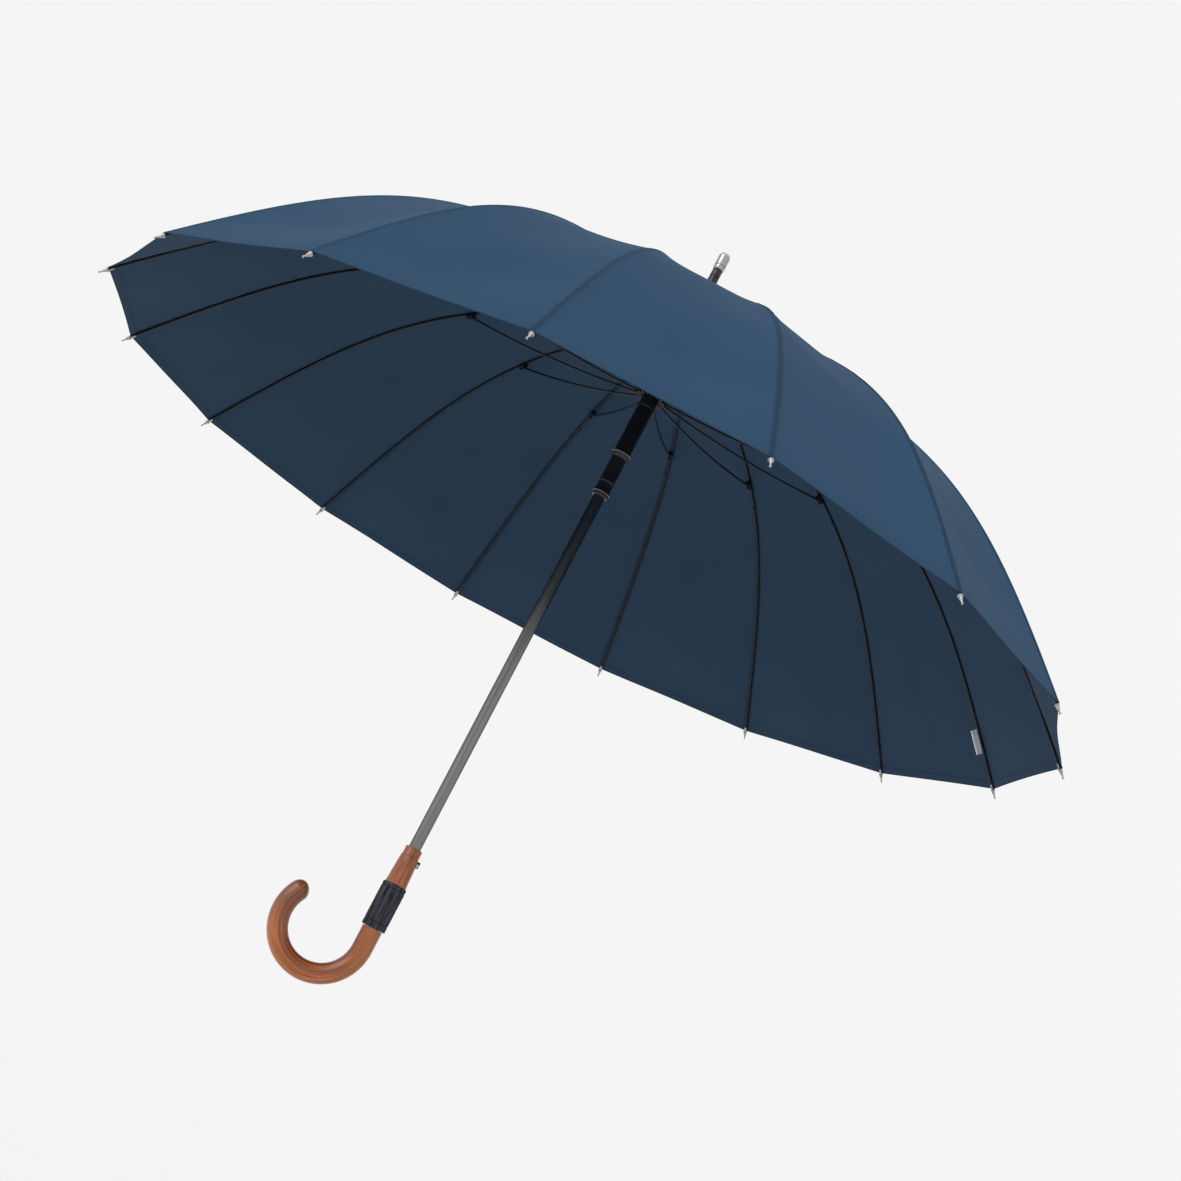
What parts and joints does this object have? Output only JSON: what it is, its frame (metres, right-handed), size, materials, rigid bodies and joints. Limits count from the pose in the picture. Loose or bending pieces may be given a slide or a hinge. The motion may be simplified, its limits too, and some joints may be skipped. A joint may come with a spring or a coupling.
{
  "type": "stick umbrella",
  "caption": "Open stick umbrella with a many-ribbed navy canopy on folding ribs, a sliding runner, a dark metal shaft and a curved wooden crook handle.",
  "frame": {"origin": "on the shaft axis at the hand grip, where the crook meets the black band", "axes": "+Z along the shaft towards the ferrule; the crook curls to -X; the stretched canopy spans X and Y"},
  "size_m": [1.032, 1.032, 0.8536],
  "materials": {
    "shaft_steel": "satin dark grey",
    "black_plastic": "satin black moulding",
    "black_metal": "gloss black lacquer",
    "black_band": "polished black",
    "bright_metal": "bright nickel",
    "rib_steel": "dark coated rod",
    "canopy_cloth": "fine plain weave, navy",
    "lacquered_wood": "reddish brown, lacquered"
  },
  "bodies": {
    "shaft": {"shaft_tube": "shaft_steel", "top_notch": "black_plastic", "canopy_cap": "canopy_cloth", "ferrule": "black_metal", "ferrule_tip": "bright_metal", "handle_collar": "lacquered_wood", "handle_band": "black_band", "handle_crook": "lacquered_wood"},
    "runner": {"runner_ring": "black_plastic", "runner_sleeve": "black_plastic"},
    "button": {"push_button": "bright_metal"},
    "spoke_01": {"rib_01": "rib_steel", "canopy_panel_01": "canopy_cloth"},
    "strut_01": {"stretcher_01": "rib_steel"},
    "spoke_02": {"rib_02": "rib_steel", "canopy_panel_02": "canopy_cloth"},
    "strut_02": {"stretcher_02": "rib_steel"},
    "spoke_03": {"rib_03": "rib_steel", "canopy_panel_03": "canopy_cloth"},
    "strut_03": {"stretcher_03": "rib_steel"},
    "spoke_04": {"rib_04": "rib_steel", "canopy_panel_04": "canopy_cloth"},
    "strut_04": {"stretcher_04": "rib_steel"},
    "spoke_05": {"rib_05": "rib_steel", "canopy_panel_05": "canopy_cloth", "tie_strap": "canopy_cloth"},
    "strut_05": {"stretcher_05": "rib_steel"},
    "spoke_06": {"rib_06": "rib_steel", "canopy_panel_06": "canopy_cloth"},
    "strut_06": {"stretcher_06": "rib_steel"},
    "spoke_07": {"rib_07": "rib_steel", "canopy_panel_07": "canopy_cloth"},
    "strut_07": {"stretcher_07": "rib_steel"},
    "spoke_08": {"rib_08": "rib_steel", "canopy_panel_08": "canopy_cloth"},
    "strut_08": {"stretcher_08": "rib_steel"},
    "spoke_09": {"rib_09": "rib_steel", "canopy_panel_09": "canopy_cloth"},
    "strut_09": {"stretcher_09": "rib_steel"},
    "spoke_10": {"rib_10": "rib_steel", "canopy_panel_10": "canopy_cloth"},
    "strut_10": {"stretcher_10": "rib_steel"},
    "spoke_11": {"rib_11": "rib_steel", "canopy_panel_11": "canopy_cloth"},
    "strut_11": {"stretcher_11": "rib_steel"},
    "spoke_12": {"rib_12": "rib_steel", "canopy_panel_12": "canopy_cloth"},
    "strut_12": {"stretcher_12": "rib_steel"},
    "spoke_13": {"rib_13": "rib_steel", "canopy_panel_13": "canopy_cloth"},
    "strut_13": {"stretcher_13": "rib_steel"},
    "spoke_14": {"rib_14": "rib_steel", "canopy_panel_14": "canopy_cloth"},
    "strut_14": {"stretcher_14": "rib_steel"},
    "spoke_15": {"rib_15": "rib_steel", "canopy_panel_15": "canopy_cloth"},
    "strut_15": {"stretcher_15": "rib_steel"},
    "spoke_16": {"rib_16": "rib_steel", "canopy_panel_16": "canopy_cloth"},
    "strut_16": {"stretcher_16": "rib_steel"}
  },
  "joints": [
    {"name": "runner_slide", "type": "slide", "parent": "shaft", "child": "runner", "axis": [0, 0, -1], "range_m": [0, 0.39555], "stiffness_N_per_m": 60, "springref_m": -0.25},
    {"name": "button_press", "type": "slide", "parent": "shaft", "child": "button", "axis": [-1, 0, 0], "range_m": [0, 0.0024], "stiffness_N_per_m": 800, "springref_m": -0.001},
    {"name": "rib_hinge_01", "type": "hinge", "parent": "shaft", "child": "spoke_01", "pos_m": [0.01128, 0.00224, 0.6896], "axis": [-0.1951, 0.9808, 0], "range_deg": [0, 62]},
    {"name": "stretcher_hinge_01", "type": "hinge", "parent": "spoke_01", "child": "strut_01", "pos_m": [0.25449, 0.05062, 0.63625], "axis": [-0.1951, 0.9808, 0], "range_deg": [-128.71, 0]},
    {"name": "rib_hinge_02", "type": "hinge", "parent": "shaft", "child": "spoke_02", "pos_m": [0.00956, 0.00639, 0.6896], "axis": [-0.5556, 0.8315, 0], "range_deg": [0, 62]},
    {"name": "stretcher_hinge_02", "type": "hinge", "parent": "spoke_02", "child": "strut_02", "pos_m": [0.21574, 0.14416, 0.63625], "axis": [-0.5556, 0.8315, 0], "range_deg": [-128.71, 0]},
    {"name": "rib_hinge_03", "type": "hinge", "parent": "shaft", "child": "spoke_03", "pos_m": [0.00639, 0.00956, 0.6896], "axis": [-0.8315, 0.5556, 0], "range_deg": [0, 62]},
    {"name": "stretcher_hinge_03", "type": "hinge", "parent": "spoke_03", "child": "strut_03", "pos_m": [0.14416, 0.21574, 0.63625], "axis": [-0.8315, 0.5556, 0], "range_deg": [-128.71, 0]},
    {"name": "rib_hinge_04", "type": "hinge", "parent": "shaft", "child": "spoke_04", "pos_m": [0.00224, 0.01128, 0.6896], "axis": [-0.9808, 0.1951, 0], "range_deg": [0, 62]},
    {"name": "stretcher_hinge_04", "type": "hinge", "parent": "spoke_04", "child": "strut_04", "pos_m": [0.05062, 0.25449, 0.63625], "axis": [-0.9808, 0.1951, 0], "range_deg": [-128.71, 0]},
    {"name": "rib_hinge_05", "type": "hinge", "parent": "shaft", "child": "spoke_05", "pos_m": [-0.00224, 0.01128, 0.6896], "axis": [-0.9808, -0.1951, 0], "range_deg": [0, 62]},
    {"name": "stretcher_hinge_05", "type": "hinge", "parent": "spoke_05", "child": "strut_05", "pos_m": [-0.05062, 0.25449, 0.63625], "axis": [-0.9808, -0.1951, 0], "range_deg": [-128.71, 0]},
    {"name": "rib_hinge_06", "type": "hinge", "parent": "shaft", "child": "spoke_06", "pos_m": [-0.00639, 0.00956, 0.6896], "axis": [-0.8315, -0.5556, 0], "range_deg": [0, 62]},
    {"name": "stretcher_hinge_06", "type": "hinge", "parent": "spoke_06", "child": "strut_06", "pos_m": [-0.14416, 0.21574, 0.63625], "axis": [-0.8315, -0.5556, 0], "range_deg": [-128.71, 0]},
    {"name": "rib_hinge_07", "type": "hinge", "parent": "shaft", "child": "spoke_07", "pos_m": [-0.00956, 0.00639, 0.6896], "axis": [-0.5556, -0.8315, 0], "range_deg": [0, 62]},
    {"name": "stretcher_hinge_07", "type": "hinge", "parent": "spoke_07", "child": "strut_07", "pos_m": [-0.21574, 0.14416, 0.63625], "axis": [-0.5556, -0.8315, 0], "range_deg": [-128.71, 0]},
    {"name": "rib_hinge_08", "type": "hinge", "parent": "shaft", "child": "spoke_08", "pos_m": [-0.01128, 0.00224, 0.6896], "axis": [-0.1951, -0.9808, 0], "range_deg": [0, 62]},
    {"name": "stretcher_hinge_08", "type": "hinge", "parent": "spoke_08", "child": "strut_08", "pos_m": [-0.25449, 0.05062, 0.63625], "axis": [-0.1951, -0.9808, 0], "range_deg": [-128.71, 0]},
    {"name": "rib_hinge_09", "type": "hinge", "parent": "shaft", "child": "spoke_09", "pos_m": [-0.01128, -0.00224, 0.6896], "axis": [0.1951, -0.9808, 0], "range_deg": [0, 62]},
    {"name": "stretcher_hinge_09", "type": "hinge", "parent": "spoke_09", "child": "strut_09", "pos_m": [-0.25449, -0.05062, 0.63625], "axis": [0.1951, -0.9808, 0], "range_deg": [-128.71, 0]},
    {"name": "rib_hinge_10", "type": "hinge", "parent": "shaft", "child": "spoke_10", "pos_m": [-0.00956, -0.00639, 0.6896], "axis": [0.5556, -0.8315, 0], "range_deg": [0, 62]},
    {"name": "stretcher_hinge_10", "type": "hinge", "parent": "spoke_10", "child": "strut_10", "pos_m": [-0.21574, -0.14416, 0.63625], "axis": [0.5556, -0.8315, 0], "range_deg": [-128.71, 0]},
    {"name": "rib_hinge_11", "type": "hinge", "parent": "shaft", "child": "spoke_11", "pos_m": [-0.00639, -0.00956, 0.6896], "axis": [0.8315, -0.5556, 0], "range_deg": [0, 62]},
    {"name": "stretcher_hinge_11", "type": "hinge", "parent": "spoke_11", "child": "strut_11", "pos_m": [-0.14416, -0.21574, 0.63625], "axis": [0.8315, -0.5556, 0], "range_deg": [-128.71, 0]},
    {"name": "rib_hinge_12", "type": "hinge", "parent": "shaft", "child": "spoke_12", "pos_m": [-0.00224, -0.01128, 0.6896], "axis": [0.9808, -0.1951, 0], "range_deg": [0, 62]},
    {"name": "stretcher_hinge_12", "type": "hinge", "parent": "spoke_12", "child": "strut_12", "pos_m": [-0.05062, -0.25449, 0.63625], "axis": [0.9808, -0.1951, 0], "range_deg": [-128.71, 0]},
    {"name": "rib_hinge_13", "type": "hinge", "parent": "shaft", "child": "spoke_13", "pos_m": [0.00224, -0.01128, 0.6896], "axis": [0.9808, 0.1951, 0], "range_deg": [0, 62]},
    {"name": "stretcher_hinge_13", "type": "hinge", "parent": "spoke_13", "child": "strut_13", "pos_m": [0.05062, -0.25449, 0.63625], "axis": [0.9808, 0.1951, 0], "range_deg": [-128.71, 0]},
    {"name": "rib_hinge_14", "type": "hinge", "parent": "shaft", "child": "spoke_14", "pos_m": [0.00639, -0.00956, 0.6896], "axis": [0.8315, 0.5556, 0], "range_deg": [0, 62]},
    {"name": "stretcher_hinge_14", "type": "hinge", "parent": "spoke_14", "child": "strut_14", "pos_m": [0.14416, -0.21574, 0.63625], "axis": [0.8315, 0.5556, 0], "range_deg": [-128.71, 0]},
    {"name": "rib_hinge_15", "type": "hinge", "parent": "shaft", "child": "spoke_15", "pos_m": [0.00956, -0.00639, 0.6896], "axis": [0.5556, 0.8315, 0], "range_deg": [0, 62]},
    {"name": "stretcher_hinge_15", "type": "hinge", "parent": "spoke_15", "child": "strut_15", "pos_m": [0.21574, -0.14416, 0.63625], "axis": [0.5556, 0.8315, 0], "range_deg": [-128.71, 0]},
    {"name": "rib_hinge_16", "type": "hinge", "parent": "shaft", "child": "spoke_16", "pos_m": [0.01128, -0.00224, 0.6896], "axis": [0.1951, 0.9808, 0], "range_deg": [0, 62]},
    {"name": "stretcher_hinge_16", "type": "hinge", "parent": "spoke_16", "child": "strut_16", "pos_m": [0.25449, -0.05062, 0.63625], "axis": [0.1951, 0.9808, 0], "range_deg": [-128.71, 0]}
  ],
  "couplings": [
    {"joint": "rib_hinge_01", "follows": "runner_slide", "rad_per_m": 2.7357},
    {"joint": "stretcher_hinge_01", "follows": "runner_slide", "rad_per_m": -5.6793},
    {"joint": "rib_hinge_02", "follows": "runner_slide", "rad_per_m": 2.7357},
    {"joint": "stretcher_hinge_02", "follows": "runner_slide", "rad_per_m": -5.6793},
    {"joint": "rib_hinge_03", "follows": "runner_slide", "rad_per_m": 2.7357},
    {"joint": "stretcher_hinge_03", "follows": "runner_slide", "rad_per_m": -5.6793},
    {"joint": "rib_hinge_04", "follows": "runner_slide", "rad_per_m": 2.7357},
    {"joint": "stretcher_hinge_04", "follows": "runner_slide", "rad_per_m": -5.6793},
    {"joint": "rib_hinge_05", "follows": "runner_slide", "rad_per_m": 2.7357},
    {"joint": "stretcher_hinge_05", "follows": "runner_slide", "rad_per_m": -5.6793},
    {"joint": "rib_hinge_06", "follows": "runner_slide", "rad_per_m": 2.7357},
    {"joint": "stretcher_hinge_06", "follows": "runner_slide", "rad_per_m": -5.6793},
    {"joint": "rib_hinge_07", "follows": "runner_slide", "rad_per_m": 2.7357},
    {"joint": "stretcher_hinge_07", "follows": "runner_slide", "rad_per_m": -5.6793},
    {"joint": "rib_hinge_08", "follows": "runner_slide", "rad_per_m": 2.7357},
    {"joint": "stretcher_hinge_08", "follows": "runner_slide", "rad_per_m": -5.6793},
    {"joint": "rib_hinge_09", "follows": "runner_slide", "rad_per_m": 2.7357},
    {"joint": "stretcher_hinge_09", "follows": "runner_slide", "rad_per_m": -5.6793},
    {"joint": "rib_hinge_10", "follows": "runner_slide", "rad_per_m": 2.7357},
    {"joint": "stretcher_hinge_10", "follows": "runner_slide", "rad_per_m": -5.6793},
    {"joint": "rib_hinge_11", "follows": "runner_slide", "rad_per_m": 2.7357},
    {"joint": "stretcher_hinge_11", "follows": "runner_slide", "rad_per_m": -5.6793},
    {"joint": "rib_hinge_12", "follows": "runner_slide", "rad_per_m": 2.7357},
    {"joint": "stretcher_hinge_12", "follows": "runner_slide", "rad_per_m": -5.6793},
    {"joint": "rib_hinge_13", "follows": "runner_slide", "rad_per_m": 2.7357},
    {"joint": "stretcher_hinge_13", "follows": "runner_slide", "rad_per_m": -5.6793},
    {"joint": "rib_hinge_14", "follows": "runner_slide", "rad_per_m": 2.7357},
    {"joint": "stretcher_hinge_14", "follows": "runner_slide", "rad_per_m": -5.6793},
    {"joint": "rib_hinge_15", "follows": "runner_slide", "rad_per_m": 2.7357},
    {"joint": "stretcher_hinge_15", "follows": "runner_slide", "rad_per_m": -5.6793},
    {"joint": "rib_hinge_16", "follows": "runner_slide", "rad_per_m": 2.7357},
    {"joint": "stretcher_hinge_16", "follows": "runner_slide", "rad_per_m": -5.6793}
  ]
}
